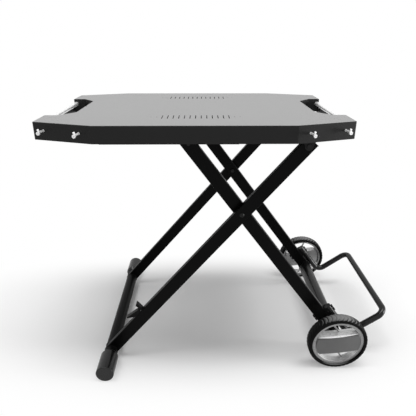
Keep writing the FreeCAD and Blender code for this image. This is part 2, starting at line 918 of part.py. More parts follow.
def leg(label, y, start, length, rounds, foot):
    """A near leg tube cut to fit the round tube at its foot, with cross holes."""
    piece = Pieces(label)
    half_y = "leg_thick / 2"
    half_z = "leg_deep / 2"

    def section(inset):
        return [
            ("-%s - %s + %s" % (y, half_y, inset), "-%s + %s" % (half_z, inset)),
            ("-%s + %s - %s" % (y, half_y, inset), "-%s + %s" % (half_z, inset)),
            ("-%s + %s - %s" % (y, half_y, inset), "%s - %s" % (half_z, inset)),
            ("-%s - %s + %s" % (y, half_y, inset), "%s - %s" % (half_z, inset)),
        ]

    lengthwise = Vector(1, 0, 0)
    profile = piece.outline("YZ_Plane", section("0"))
    profile.setExpression("AttachmentOffset.Base.z", bound(start))
    piece.pad(profile, length)
    piece.fillet(lambda e: runs_along(e, lengthwise, 100), "leg_corner")
    bore = piece.outline("YZ_Plane", section("leg_wall"))
    bore.setExpression("AttachmentOffset.Base.z", bound("%s + %s + 1" % (start, length)))
    piece.pocket(bore, "%s + 2" % length)
    piece.pocket(piece.circles("XZ_Plane", rounds + [(0, 0, foot)]))
    return piece


def leg_plug(y, tip, way):
    """A plastic plug in the open end of a near leg."""
    inner_y = "leg_thick - 2 * leg_wall"
    inner_z = "leg_deep - 2 * leg_wall"
    body = box(
        ("%s - (%d + 1) / 2 * plug_depth" % (tip, way), "-%s - (%s) / 2" % (y, inner_y), "-(%s) / 2" % inner_z),
        "plug_depth",
        inner_y,
        inner_z,
    )
    lip = box(
        ("%s + (%d - 1) / 2 * plug_lip" % (tip, way), "-%s - leg_thick / 2" % y, "-leg_deep / 2"),
        "plug_lip",
        "leg_thick",
        "leg_deep",
    )
    return fuse(body, lip)


OUTER_HOLES = [
    ("outer_leg_length", 0, "pin_radius + run_fit"),
    ("outer_leg_length - pivot_distance", 0, "pin_radius"),
]
INNER_HOLES = [
    ("-inner_leg_lower", 0, "pin_radius + run_fit"),
    ("-inner_leg_lower - inner_leg_upper", 0, "rod_radius"),
]


def outer_leg():
    """The near outer leg, from the foot tube up to the hinge."""
    reach = "(outer_leg_length + leg_end)"
    return leg("outer_leg", "outer_leg_y", 0, reach, OUTER_HOLES, "tube_radius")


def inner_leg():
    """The near inner leg, from the slide rod down to the axle tube."""
    reach = "(inner_leg_lower + inner_leg_upper + leg_end)"
    holes = INNER_HOLES
    body = leg("inner_leg", "inner_leg_y", "-" + reach, reach, holes, "axle_tube_radius").body
    return cut(body, group(*bolt_holes(20)))


def bolt_spots():
    """Where the two saddle bolts stand along a leg."""
    return ["-bolt_from_axle", "-bolt_from_axle - bolt_spacing"]


def bolt_holes(extra):
    """Round tools for the saddle bolts' holes."""
    return [
        cylinder((x, "-inner_leg_y", "-leg_deep / 2 - %d" % extra), "bolt_radius", "leg_deep + %d" % (2 * extra))
        for x in bolt_spots()
    ]


def pivot_bolt():
    """The near pivot bolt with a domed head outside."""
    x = "outer_leg_length - pivot_distance"
    face = "(outer_leg_y + leg_thick / 2)"
    head = cylinder((x, "-%s - head_height" % face, 0), "head_radius", "head_height", "Y")
    dome = common(head, sphere((x, "-%s + head_radius - head_height + 2.5" % face, 0), "head_radius + 2"))
    shank = cylinder((x, "-%s - 1" % face, 0), "pin_radius", "2 * leg_thick + leg_gap + nut_height + 2.3", "Y")
    socket = hexagon((x, "-%s - head_height - 1" % face, 0), 2.9, 3, "Y")
    return cut(fuse(dome, shank), socket)


def sphere(at, radius):
    """A ball at the given place."""
    obj = make("Part::Sphere", "Ball")
    bind(obj, "Radius", radius)
    locate(obj, at, Rotation())
    return obj


def pivot_nut():
    """The near pivot nut inside the inner leg."""
    x = "outer_leg_length - pivot_distance"
    start = "-inner_leg_y + leg_thick / 2 + seat_gap"
    nut = hexagon((x, start, 0), "head_radius", "nut_height", "Y")
    return cut(nut, cylinder((x, "%s - 1" % start, 0), "pin_radius", "nut_height + 2", "Y"))


def pivot_washer():
    """The near washer between the two legs."""
    x = "outer_leg_length - pivot_distance"
    start = "-outer_leg_y + leg_thick / 2"
    washer = cylinder((x, start, 0), "head_radius + 2.5", "washer_thick", "Y")
    return cut(washer, cylinder((x, "%s - 1" % start, 0), "pin_radius", "washer_thick + 2", "Y"))


def round_tube(reach, radius):
    """A round tube across the table, open at both ends."""
    outside = cylinder((0, "-%s" % reach, 0), radius, "2 * %s" % reach, "Y")
    bore = "%s - tube_wall" % radius
    inside = cylinder((0, "-%s - 1" % reach, 0), bore, "2 * %s + 2" % reach, "Y")
    return cut(outside, inside)


def foot_cap():
    """The near foot cap: a cup turned about the foot tube."""
    piece = Pieces("foot_cap")
    start = "-foot_reach + cap_length"
    points = [
        (start, "tube_radius"),
        (start, "tube_radius + 1.5"),
        ("%s - cap_taper" % start, "cap_radius"),
        ("-foot_reach", "cap_radius"),
        ("-foot_reach", 0),
        ("-foot_reach + cap_end", 0),
        ("-foot_reach + cap_end", "tube_radius"),
    ]
    piece.revolve(piece.outline("YZ_Plane", points), "Y_Axis")
    piece.fillet(lambda e: abs(e.BoundBox.YMax + size.foot_reach) < 1e-3, "cap_round")
    return piece


def fold_catch():
    """The spring catch on the near outer leg that takes the folded skirt's edge."""
    piece = Pieces("fold_catch")
    face = "leg_deep / 2"
    points = [
        ("catch_x + 11", face),
        ("catch_x + 14", "%s + 16" % face),
        ("catch_x + 16", "%s + 31" % face),
        ("catch_x + 4.5", "%s + 26" % face),
        ("catch_x + 6", "%s + 18" % face),
        ("catch_x + 4.5", "%s + fold_clearance - 0.5" % face),
        ("catch_x - 4", "%s + fold_clearance - 0.5" % face),
        ("catch_x - 5.5", "%s + 11" % face),
        ("catch_x - 52.5", "%s + 20.5" % face),
        ("catch_x - 54", "%s + 18" % face),
        ("catch_x - 32", "%s + 1" % face),
        ("catch_x - 31", face),
    ]
    profile = piece.outline("XZ_Plane", points)
    profile.setExpression("AttachmentOffset.Base.z", bound("outer_leg_y - catch_width / 2"))
    piece.pad(profile, "catch_width")
    rivets = group(*[catch_rivet(y) for y in ("-4.5", "4.5")])
    return cut(piece.body, rivets)


def catch_rivet(offset):
    """One flush rivet of the catch, headed inside the leg."""
    y = "-outer_leg_y + (%s)" % offset
    shank = cylinder(("catch_x", y, "leg_deep / 2 - leg_wall - 1"), 2, "leg_wall + 3")
    head = cylinder(("catch_x", y, "leg_deep / 2 - leg_wall - 1.5"), 3.5, 1.5)
    return fuse(shank, head)


def rivet_holes():
    """Round tools for the catch rivets' holes."""
    return [
        cylinder(("catch_x", "-outer_leg_y + (%s)" % y, "leg_deep / 2 - 5"), 2, 10)
        for y in ("-4.5", "4.5")
    ]


finish(cut(outer_leg().body, group(*rivet_holes())), "outer_leg_near", "outer")
finish(mirrored(outer_leg().body), "outer_leg_far", "outer")
finish(both(leg_plug("outer_leg_y", "(outer_leg_length + leg_end)", 1)), "outer_leg_plugs", "outer")
finish(round_tube("(foot_reach - cap_end)", "tube_radius"), "foot_tube", "outer")
finish(foot_cap(), "foot_cap_near", "outer")
finish(mirrored(foot_cap().body), "foot_cap_far", "outer")
finish(fold_catch(), "fold_catch", "outer")
finish(group(catch_rivet("-4.5"), catch_rivet("4.5")), "catch_rivets", "outer")
finish(both(pivot_bolt()), "pivot_bolts", "outer")
finish(both(pivot_nut()), "pivot_nuts", "outer")
finish(both(pivot_washer()), "pivot_washers", "outer")


# Inner legs: axle tube, slide rod and the bent stand tube

def stand_pieces(radius, trim):
    """Straight runs and bends that make up the bent tube, at one radius."""
    near = "-inner_leg_y"
    along = "stand_drop - stand_bend"
    rise = "stand_height - stand_bend"
    arm = "stand_drop - stand_bend + stand_start - %s" % trim
    pieces = []
    for side in ("-", ""):
        y = side + "inner_leg_y"
        pieces.append(cylinder(("-stand_start + %s" % trim, y, "stand_rise"), radius, arm, "X"))
        low = quarter(radius, (along, y, "stand_rise + stand_bend"), Vector(1, 0, 0), Vector(0, 0, -1))
        pieces.append(low)
        run = "stand_height - stand_rise - 2 * stand_bend"
        pieces.append(cylinder(("stand_drop", y, "stand_rise + stand_bend"), radius, run))
        inward = Vector(0, -1, 0) if side == "-" else Vector(0, 1, 0)
        centre = ("stand_drop", "%s(inner_leg_y - stand_bend)" % side, rise)
        pieces.append(quarter(radius, centre, inward, Vector(0, 0, 1)))
    across = "2 * (inner_leg_y - stand_bend)"
    start = "%s + stand_bend" % near
    pieces.append(cylinder(("stand_drop", start, "stand_height"), radius, across, "Y"))
    return pieces


def quarter(radius, at, first, second):
    """A quarter bend from one direction to another round a centre."""
    obj = make("Part::Torus", "Bend")
    bind(obj, "Radius1", "stand_bend")
    bind(obj, "Radius2", radius)
    obj.Angle3 = 90
    turn = FreeCAD.Matrix()
    third = first.cross(second)
    turn.A11, turn.A21, turn.A31 = first
    turn.A12, turn.A22, turn.A32 = second
    turn.A13, turn.A23, turn.A33 = third
    locate(obj, at, Placement(turn).Rotation)
    return obj


def stand_rod():
    """The bent stand tube, closed at both ends, drilled for its bolts."""
    outside = fuse(*stand_pieces("stand_radius", "0"))
    inside = fuse(*stand_pieces("(stand_radius - stand_wall)", "3"))
    holes = [
        cylinder((x, "%sinner_leg_y" % side, "stand_rise - 20"), "bolt_radius", 40)
        for x in bolt_spots()
        for side in ("-", "")
    ]
    return cut(cut(outside, inside), group(*holes))


def saddle():
    """The near block between the leg and the stand tube."""
    middle = "-bolt_from_axle - bolt_spacing / 2"
    block = box(
        ("%s - saddle_length / 2" % middle, "-inner_leg_y - leg_thick / 2", "leg_deep / 2"),
        "saddle_length",
        "leg_thick",
        "stand_rise - leg_deep / 2 - 2",
    )
    groove = cylinder(("-stand_start - 50", "-inner_leg_y", "stand_rise"), "stand_radius", 200, "X")
    holes = [cylinder((x, "-inner_leg_y", 0), "bolt_radius", 60) for x in bolt_spots()]
    return cut(block, group(groove, *holes))


def stand_bolt(x):
    """One bolt down through tube, saddle and leg."""
    top = "stand_rise + stand_radius"
    head = hexagon((x, "-inner_leg_y", top), "bolt_radius + 3", 4)
    low = "-leg_deep / 2 - 6"
    shank = cylinder((x, "-inner_leg_y", low), "bolt_radius", "%s + 1 + leg_deep / 2 + 6" % top)
    return fuse(head, shank)


def stand_nut(x):
    """The nut of one saddle bolt under the leg."""
    nut = hexagon((x, "-inner_leg_y", "-leg_deep / 2 - 5"), "bolt_radius + 3", 5)
    return cut(nut, cylinder((x, "-inner_leg_y", -60), "bolt_radius", 80))


def axle_plug():
    """The near plug that carries the axle rod in the axle tube."""
    start = "-axle_tube_reach"
    plug = cylinder((0, start, 0), "axle_tube_radius - tube_wall", 14, "Y")
    return cut(plug, cylinder((0, "%s - 1" % start, 0), "axle_radius", 16, "Y"))


def axle_washer():
    """The near washer between the axle tube and the wheel's hub."""
    start = "-wheel_y + hub_reach + seat_gap"
    washer = cylinder((0, start, 0), "axle_radius + 7", "axle_washer", "Y")
    return cut(washer, cylinder((0, "%s - 1" % start, 0), "axle_radius", "axle_washer + 2", "Y"))


def axle_nut():
    """The near nut in the recess of the wheel's hub."""
    nut = hexagon((0, "-axle_reach", 0), "axle_radius + 4.5", "axle_nut_height", "Y")
    return cut(nut, cylinder((0, "-axle_reach - 1", 0), "axle_radius", "axle_nut_height + 2", "Y"))


inner_tip = "-(inner_leg_lower + inner_leg_upper + leg_end)"
finish(inner_leg(), "inner_leg_near", "inner")
finish(mirrored(inner_leg()), "inner_leg_far", "inner")
finish(both(leg_plug("inner_leg_y", inner_tip, -1)), "inner_leg_plugs", "inner")
finish(round_tube("axle_tube_reach", "axle_tube_radius"), "axle_tube", "inner")
rod_x = "-inner_leg_lower - inner_leg_upper"
rod_reach = "(inner_leg_y + leg_thick / 2)"
slide_rod = cylinder((rod_x, "-%s" % rod_reach, 0), "rod_radius", "2 * %s" % rod_reach, "Y")
finish(group(slide_rod), "slide_rod", "inner")
finish(stand_rod(), "stand_rod", "inner")
finish(both(saddle()), "stand_saddles", "inner")
bolts = [stand_bolt(x) for x in bolt_spots()]
nuts = [stand_nut(x) for x in bolt_spots()]
finish(group(*bolts, *[mirrored(b) for b in bolts]), "stand_bolts", "inner")
finish(group(*nuts, *[mirrored(n) for n in nuts]), "stand_nuts", "inner")
axle_rod = cylinder((0, "-axle_reach", 0), "axle_radius", "2 * axle_reach", "Y")
finish(group(axle_rod), "axle_rod", "inner")
finish(both(axle_plug()), "axle_plugs", "inner")
finish(both(axle_washer()), "axle_washers", "inner")
finish(both(axle_nut()), "axle_nuts", "inner")


# Wheels: built once with their outer face towards -Y

def tyre():
    """The tyre with slanted grooves round both shoulders."""
    piece = Pieces("tyre")
    points = [
        ("-tyre_seat", "rim_radius"),
        ("tyre_seat", "rim_radius"),
        ("tyre_half", "rim_radius + 3"),
        ("tyre_half", "rim_radius + 8.5"),
        ("tyre_crown", "wheel_radius"),
        ("-tyre_crown", "wheel_radius"),
        ("-tyre_half", "rim_radius + 8.5"),
        ("-tyre_half", "rim_radius + 3"),
    ]
    piece.revolve(piece.outline("YZ_Plane", points), "Y_Axis")
    shoulder = size.wheel_radius
    piece.fillet(
        lambda e: abs(e.BoundBox.ZMax - shoulder) < 1e-3 or abs(e.BoundBox.ZMax - size.rim_radius - 8.5) < 1e-3,
        2.5,
    )
    for way in ("", "-"):
        points = [
            ("-tread_lean / 2 - tread_groove / 2", "%s1.5" % way),
            ("-tread_lean / 2 + tread_groove / 2", "%s1.5" % way),
            ("tread_lean / 2 + tread_groove / 2", "%s(tyre_half + 1)" % way),
            ("tread_lean / 2 - tread_groove / 2", "%s(tyre_half + 1)" % way),
        ]
        groove = piece.outline("XY_Plane", points)
        raise_sketch(groove, "wheel_radius + 1")
        pocket = piece.pocket(groove, "tread_depth + 1")
        ring = piece.body.newObject("PartDesign::PolarPattern", "tread")
        ring.Originals = [pocket]
        ring.Axis = (piece.plane("Y_Axis"), [""])
        ring.Angle = 360
        ring.Occurrences = 44
        piece.body.Tip = ring
        doc.recompute()
    return piece


def bow(proud):
    """A wide upright drum whose front gives the band and its plate their bow."""
    return cylinder((0, "band_curve - band_front", "-band_half"), "band_curve + %s" % proud, "2 * band_half")


def rim_strut(way):
    """One leaning strut between the band's rear part and the barrel, above or below."""
    strut = box(
        ("%d * (strut_foot - strut_width / 2)" % way, "rim_half / 4", 0),
        "strut_width",
        "rim_half / 2",
        "rim_radius + strut_foot",
    )
    lean = (1 - way) * 90 - size.strut_lean
    strut.Placement = Placement(strut.Placement.Base, Rotation(Vector(0, 1, 0), lean))
    return strut


def rim():
    """The wheel's centre: barrel, front ring, deep cross band, struts and hub."""
    ring = Pieces("rim_ring")
    points = [
        ("-rim_half", "rim_radius"),
        ("-rim_half", "rim_radius - lip_width"),
        ("-rim_half + lip_thick", "rim_radius - lip_width"),
        ("-rim_half + lip_thick + 1", "rim_radius - rim_wall"),
        ("rim_half", "rim_radius - rim_wall"),
        ("rim_half", "rim_radius"),
    ]
    ring.revolve(ring.outline("YZ_Plane", points), "Y_Axis")
    band = Pieces("rim_band")
    points = [
        ("-band_front", "band_half - band_bevel"),
        ("-band_front + band_bevel", "band_half"),
        ("band_back", "band_half"),
        ("band_back", "-band_half"),
        ("-band_front + band_bevel", "-band_half"),
        ("-band_front", "-band_half + band_bevel"),
    ]
    band.centred_pad(band.outline("YZ_Plane", points), "2 * rim_radius")
    bowed = common(band.body, bow("0"))
    middle = common(bowed, cylinder((0, -50, 0), "rim_radius - lip_width - plate_margin", 100, "Y"))
    joint = common(
        box(("-rim_radius", "-rim_half + lip_thick", "-band_half"), "2 * rim_radius", "rim_half", "2 * band_half"),
        cylinder((0, -50, 0), "rim_radius - 1", 100, "Y"),
    )
    struts = common(
        group(rim_strut(1), rim_strut(-1)),
        cylinder((0, -50, 0), "rim_radius - 1", 100, "Y"),
    )
    hub = cylinder((0, 0, 0), "hub_radius", "hub_reach", "Y")
    body = fuse(ring.body, middle, joint, struts, hub)
    bore = cylinder((0, -50, 0), "bush_outside", 100, "Y")
    recess = cylinder((0, -50, 0), "hub_radius - 1.5", "50 - hub_face", "Y")
    return cut(body, group(bore, recess))


def cover_plate():
    """The plate over the band's front face, its ends following the ring."""
    half = "band_half - band_bevel"
    plate = box(
        ("-rim_radius", "-band_front - plate_thick", "-(%s)" % half),
        "2 * rim_radius",
        "2 * band_bow + plate_thick",
        "2 * (%s)" % half,
    )
    disc = cylinder((0, -50, 0), "rim_radius - lip_width - plate_margin", 100, "Y")
    return cut(common(common(plate, bow("plate_thick")), disc), bow("seat_gap"))


def hub_bush():
    """The plain bush pressed into the hub."""
    length = "hub_reach + hub_face"
    bush = cylinder((0, "-hub_face", 0), "bush_outside", length, "Y")
    return cut(bush, cylinder((0, -50, 0), "axle_radius + run_fit", 100, "Y"))


for side in ("near", "far"):
    finish(tyre(), "tyre_" + side, side)
    finish(rim(), "wheel_rim_" + side, side)
    finish(cover_plate(), "wheel_plate_" + side, side)
    finish(hub_bush(), "hub_bush_" + side, side)


# Every sub-part is checked, then written

doc.recompute()
for obj in doc.Objects:
    if "Invalid" in obj.State or "Error" in obj.State:
        raise RuntimeError("%s did not compute" % obj.Name)
for obj in finished:
    if obj.Shape.isNull() or not obj.Shape.isValid() or not obj.Shape.Solids:
        raise RuntimeError("%s has no sound solid" % obj.Label)

os.makedirs("parts", exist_ok=True)
for obj in finished:
    obj.Shape.exportStep("parts/%s.step" % obj.Label)
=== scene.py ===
"""Looks of a folding oven table: its finishes, small added pieces, floor, light and camera."""

import json
import logging
import math
from dataclasses import dataclass
from enum import Enum

import bmesh
import bpy
from mathutils import Matrix, Vector

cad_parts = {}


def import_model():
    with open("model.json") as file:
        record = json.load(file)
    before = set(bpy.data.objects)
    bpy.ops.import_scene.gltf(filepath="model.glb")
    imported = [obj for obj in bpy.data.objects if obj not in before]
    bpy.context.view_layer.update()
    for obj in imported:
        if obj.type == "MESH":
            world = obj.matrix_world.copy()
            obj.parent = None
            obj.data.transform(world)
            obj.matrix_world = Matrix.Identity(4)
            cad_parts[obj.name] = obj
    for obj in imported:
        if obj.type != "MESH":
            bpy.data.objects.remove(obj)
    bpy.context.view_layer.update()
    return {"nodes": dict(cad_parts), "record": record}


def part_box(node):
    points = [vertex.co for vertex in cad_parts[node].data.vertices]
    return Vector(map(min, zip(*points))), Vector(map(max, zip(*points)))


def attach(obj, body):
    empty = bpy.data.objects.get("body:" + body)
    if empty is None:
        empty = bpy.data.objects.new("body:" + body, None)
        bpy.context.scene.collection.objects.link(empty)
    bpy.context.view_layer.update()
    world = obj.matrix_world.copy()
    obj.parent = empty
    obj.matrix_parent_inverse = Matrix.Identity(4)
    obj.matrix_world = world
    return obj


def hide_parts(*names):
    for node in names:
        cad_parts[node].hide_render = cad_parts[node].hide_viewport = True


LOG = logging.getLogger("oven_table")
MERGE_DISTANCE = 1e-6

Colour = tuple[float, float, float]
Point = tuple[float, float, float]
Span = tuple[float, float]

# Where most of a noise lies, and the whole range of a share
MOST: Span = (0.3, 0.7)
WHOLE: Span = (0.0, 1.0)


class Body(Enum):
    """The parts of the table that move as one."""

    TABLE = "table"
    OUTER_LEGS = "outer_legs"
    INNER_LEGS = "inner_legs"
    WHEEL_NEAR = "wheel_near"
    WHEEL_FAR = "wheel_far"


class Side(Enum):
    """The two long sides, with the way each lies along Y."""

    NEAR = -1
    FAR = 1

    @property
    def word(self) -> str:
        """The side's name as the nodes spell it."""
        return self.name.lower()


def grey(value: float) -> Colour:
    """A neutral colour of one brightness."""
    return (value, value, value)


def tinted(colour: Colour, factor: float) -> Colour:
    """A colour made darker or lighter by a factor."""
    return tuple(channel * factor for channel in colour)


# Materials


class Graph:
    """Writes one material's nodes, starting from its surface shader."""

    def __init__(self, name: str) -> None:
        """Start a material with a surface shader and an output.

        Args:
            name: The material's name.
        """
        self.material: bpy.types.Material = bpy.data.materials.new(name)
        self.material.use_nodes = True
        self.tree: bpy.types.NodeTree = self.material.node_tree
        self.tree.nodes.clear()
        self.shader = self.node("ShaderNodeBsdfPrincipled")
        output = self.node("ShaderNodeOutputMaterial")
        self.link(self.shader.outputs["BSDF"], output.inputs["Surface"])

    def node(self, kind: str, **settings: object) -> bpy.types.Node:
        """Add a node and set its properties.

        Args:
            kind: The node's type name.
            **settings: Properties of the node, by name.

        Returns:
            The new node.
        """
        made = self.tree.nodes.new(kind)
        for key, value in settings.items():
            setattr(made, key, value)
        return made

    def link(self, start: bpy.types.NodeSocket, end: bpy.types.NodeSocket) -> None:
        """Join an output to an input."""
        self.tree.links.new(start, end)

    def place(self, stretch: Point = (1.0, 1.0, 1.0)) -> bpy.types.NodeSocket:
        """The piece's own coordinates, stretched.

        Args:
            stretch: Factor along each axis.

        Returns:
            The coordinates' socket.
        """
        where = self.node("ShaderNodeTexCoord")
        mapping = self.node("ShaderNodeMapping")
        mapping.inputs["Scale"].default_value = stretch
        self.link(where.outputs["Object"], mapping.inputs["Vector"])
        return mapping.outputs["Vector"]

    def noise(
        self, place: bpy.types.NodeSocket, scale: float, detail: float = 3.0, rough: float = 0.55
    ) -> bpy.types.NodeSocket:
        """Soft noise over the piece.

        Args:
            place: The coordinates it is read at.
            scale: Blobs per metre.
            detail: Layers of finer noise.
            rough: How strong the finer layers are.

        Returns:
            The noise value's socket.
        """
        made = self.node("ShaderNodeTexNoise")
        made.inputs["Scale"].default_value = scale
        made.inputs["Detail"].default_value = detail
        made.inputs["Roughness"].default_value = rough
        self.link(place, made.inputs["Vector"])
        return made.outputs["Fac"]

    def spread(
        self, value: bpy.types.NodeSocket, source: Span, target: Span
    ) -> bpy.types.NodeSocket:
        """Map a value from one range to another.

        Args:
            value: The value's socket.
            source: Its range.
            target: The range it becomes.

        Returns:
            The mapped value's socket.
        """
        made = self.node("ShaderNodeMapRange")
        made.inputs["From Min"].default_value = source[0]
        made.inputs["From Max"].default_value = source[1]
        made.inputs["To Min"].default_value = target[0]
        made.inputs["To Max"].default_value = target[1]
        self.link(value, made.inputs["Value"])
        return made.outputs["Result"]

    def blend(
        self, factor: bpy.types.NodeSocket, first: Colour, second: Colour
    ) -> bpy.types.NodeSocket:
        """Mix two colours by a factor.

        Args:
            factor: The share of the second colour.
            first: The first colour.
            second: The second colour.

        Returns:
            The mixed colour's socket.
        """
        made = self.node("ShaderNodeMix", data_type="RGBA")
        made.inputs[6].default_value = (*first, 1.0)
        made.inputs[7].default_value = (*second, 1.0)
        self.link(factor, made.inputs[0])
        return made.outputs[2]

    def scaled(
        self, colour: bpy.types.NodeSocket, factor: bpy.types.NodeSocket
    ) -> bpy.types.NodeSocket:
        """Multiply a colour by a value.

        Args:
            colour: The colour's socket.
            factor: The value's socket.

        Returns:
            The product's socket.
        """
        made = self.node("ShaderNodeVectorMath", operation="SCALE")
        self.link(colour, made.inputs[0])
        self.link(factor, made.inputs["Scale"])
        return made.outputs["Vector"]

    def facing_up(self, low: float, high: float) -> bpy.types.NodeSocket:
        """How far the surface faces up on its piece, from 0 to 1.

        Args:
            low: The upward share of the normal that gives 0.
            high: The upward share that gives 1.

        Returns:
            The value's socket.
        """
        where = self.node("ShaderNodeTexCoord")
        parts = self.node("ShaderNodeSeparateXYZ")
        self.link(where.outputs["Normal"], parts.inputs["Vector"])
        return self.spread(parts.outputs["Z"], (low, high), WHOLE)

    def bump(self, height: bpy.types.NodeSocket, depth: float, strength: float = 1.0) -> None:
        """Raise the surface by a height map.

        Args:
            height: The height's socket, 0 to 1.
            depth: What 1 stands for, in metres.
            strength: How much of it shows.
        """
        made = self.node("ShaderNodeBump")
        made.inputs["Strength"].default_value = strength
        made.inputs["Distance"].default_value = depth
        self.link(height, made.inputs["Height"])
        self.link(made.outputs["Normal"], self.shader.inputs["Normal"])

    def fixed(self, **values: float) -> None:
        """Set plain numbers on the shader's own sockets, by name with _ for a space."""
        for key, value in values.items():
            self.shader.inputs[key.replace("_", " ")].default_value = value


@dataclass(frozen=True)
class SheetSteel:
    """The tray's sheet: satin steel with a faint grain, one sheet painted light on its upward top
    and painted shade on its folded sides.
    """

    name: str = "sheet_steel"
    # Painted light on the sheet's top and painted shade on its sides: one material in a lit and a
    # shaded copy
    top: float = 0.285
    sides: float = 0.018
    roughness: float = 0.46
    grain: float = 900.0
    grain_length: float = 14.0
    grain_depth: float = 0.00003
    side_metal: float = 0.35
    top_metal: float = 0.08
    sheen: float = 0.12

    def material(self) -> bpy.types.Material:
        """Build the finish.

        Returns:
            The material.
        """
        graph = Graph(self.name)
        length = self.grain_length
        long_grain = graph.noise(graph.place((1.0, length, length)), self.grain / length, 2.0)
        cloud = graph.noise(graph.place(), 6.0, 2.0)
        # Painted light and shade: the same sheet is light grey where it faces up and near black on
        # the folded sides
        up = graph.facing_up(0.80, 0.99)
        base = graph.blend(up, grey(self.sides), grey(self.top))
        toned = graph.scaled(base, graph.spread(cloud, MOST, (0.96, 1.04)))
        fine = graph.scaled(toned, graph.spread(long_grain, (0.25, 0.75), (0.97, 1.03)))
        graph.link(fine, graph.shader.inputs["Base Color"])
        rough = graph.spread(cloud, MOST, (self.roughness - 0.04, self.roughness + 0.05))
        graph.link(rough, graph.shader.inputs["Roughness"])
        metal = graph.spread(up, WHOLE, (self.side_metal, self.top_metal))
        graph.link(metal, graph.shader.inputs["Metallic"])
        graph.bump(long_grain, self.grain_depth, 0.6)
        graph.fixed(Specular_IOR_Level=self.sheen)
        return graph.material


@dataclass(frozen=True)
class PowderCoat:
    """Baked powder paint: one colour with a fine orange-peel skin and faint dust on top."""

    name: str
    colour: Colour
    roughness: float = 0.42
    sheen: float = 0.3
    peel: float = 0.00006
    dust: float = 0.35
    dust_grey: float = 0.004
    peel_grain: float = 900.0

    def material(self) -> bpy.types.Material:
        """Build the finish.

        Returns:
            The material.
        """
        graph = Graph(self.name)
        place = graph.place()
        skin = graph.noise(place, self.peel_grain, 2.0)
        patch = graph.noise(place, 14.0, 3.0)
        shade = graph.spread(patch, MOST, (0.9, 1.12))
        haze = self.dust_grey * self.dust
        lighter = tuple(min(1.0, c * (1.0 + self.dust) + haze) for c in self.colour)
        base = graph.blend(graph.facing_up(0.3, 1.0), self.colour, lighter)
        graph.link(graph.scaled(base, shade), graph.shader.inputs["Base Color"])
        rough = graph.spread(patch, MOST, (self.roughness - 0.05, self.roughness + 0.06))
        graph.link(rough, graph.shader.inputs["Roughness"])
        graph.bump(skin, self.peel, 0.8)
        graph.fixed(Specular_IOR_Level=self.sheen)
        return graph.material


@dataclass(frozen=True)
class Polished:
    """Bright metal: chrome plate or zinc plate, with faint wiping marks."""

    name: str
    colour: Colour
    roughness: float = 0.08
    marks: float = 0.03
    metal: float = 1.0
    haze_grain: float = 120.0
    haze_depth: float = 0.00001

    def material(self) -> bpy.types.Material:
        """Build the finish.

        Returns:
            The material.
        """
        graph = Graph(self.name)
        haze = graph.noise(graph.place((1.0, 0.2, 1.0)), self.haze_grain, 4.0)
        rough = graph.spread(haze, (0.3, 0.75), (self.roughness, self.roughness + self.marks))
        graph.link(rough, graph.shader.inputs["Roughness"])
        cloud = graph.noise(graph.place(), 25.0, 2.0)
        shade = graph.blend(cloud, tinted(self.colour, 0.93), self.colour)
        graph.link(shade, graph.shader.inputs["Base Color"])
        graph.bump(haze, self.haze_depth, 0.3)
        graph.fixed(Metallic=self.metal)
        return graph.material


@dataclass(frozen=True)
class Moulded:
    """Moulded plastic with a fine matt grain."""

    name: str
    colour: Colour
    roughness: float = 0.5
    grain: float = 1400.0
    sheen: float = 0.3
    grain_depth: float = 0.00008

    def material(self) -> bpy.types.Material:
        """Build the finish.

        Returns:
            The material.
        """
        graph = Graph(self.name)
        place = graph.place()
        texture = graph.noise(place, self.grain, 3.0, 0.7)
        flow = graph.noise(place, 18.0, 3.0)
        shade = graph.blend(flow, tinted(self.colour, 0.85), tinted(self.colour, 1.2))
        graph.link(shade, graph.shader.inputs["Base Color"])
        rough = graph.spread(texture, MOST, (self.roughness - 0.07, self.roughness + 0.07))
        graph.link(rough, graph.shader.inputs["Roughness"])
        graph.bump(texture, self.grain_depth, 0.7)
        graph.fixed(Specular_IOR_Level=self.sheen)
        return graph.material


@dataclass(frozen=True)
class Rubber:
    """Tyre rubber: dull black, greyer where it is rubbed, with a painted highlight on the upward
    faces of the tread.
    """

    name: str = "tyre_rubber"
    colour: float = 0.003
    rubbed: float = 0.007
    # The grey of the painted highlight on the tread's upward faces
    tread: float = 0.22
    pore_depth: float = 0.00008
    sheen: float = 0.05

    def material(self) -> bpy.types.Material:
        """Build the finish.

        Returns:
            The material.
        """
        graph = Graph(self.name)
        place = graph.place()
        scuff = graph.noise(place, 60.0, 5.0, 0.65)
        pores = graph.noise(place, 1600.0, 2.0)
        wear = graph.spread(scuff, (0.42, 0.75), WHOLE)
        dark = graph.blend(wear, grey(self.colour), grey(self.rubbed))
        # Painted highlight: the tread's upward faces are painted light grey
        tread_highlight = graph.node("ShaderNodeMix", data_type="RGBA")
        tread_highlight.inputs[7].default_value = (*grey(self.tread), 1.0)
        graph.link(graph.facing_up(0.82, 1.0), tread_highlight.inputs[0])
        graph.link(dark, tread_highlight.inputs[6])
        graph.link(tread_highlight.outputs[2], graph.shader.inputs["Base Color"])
        graph.link(graph.spread(scuff, MOST, (0.42, 0.62)), graph.shader.inputs["Roughness"])
        graph.bump(pores, self.pore_depth, 0.6)
        graph.fixed(Specular_IOR_Level=self.sheen)
        return graph.material


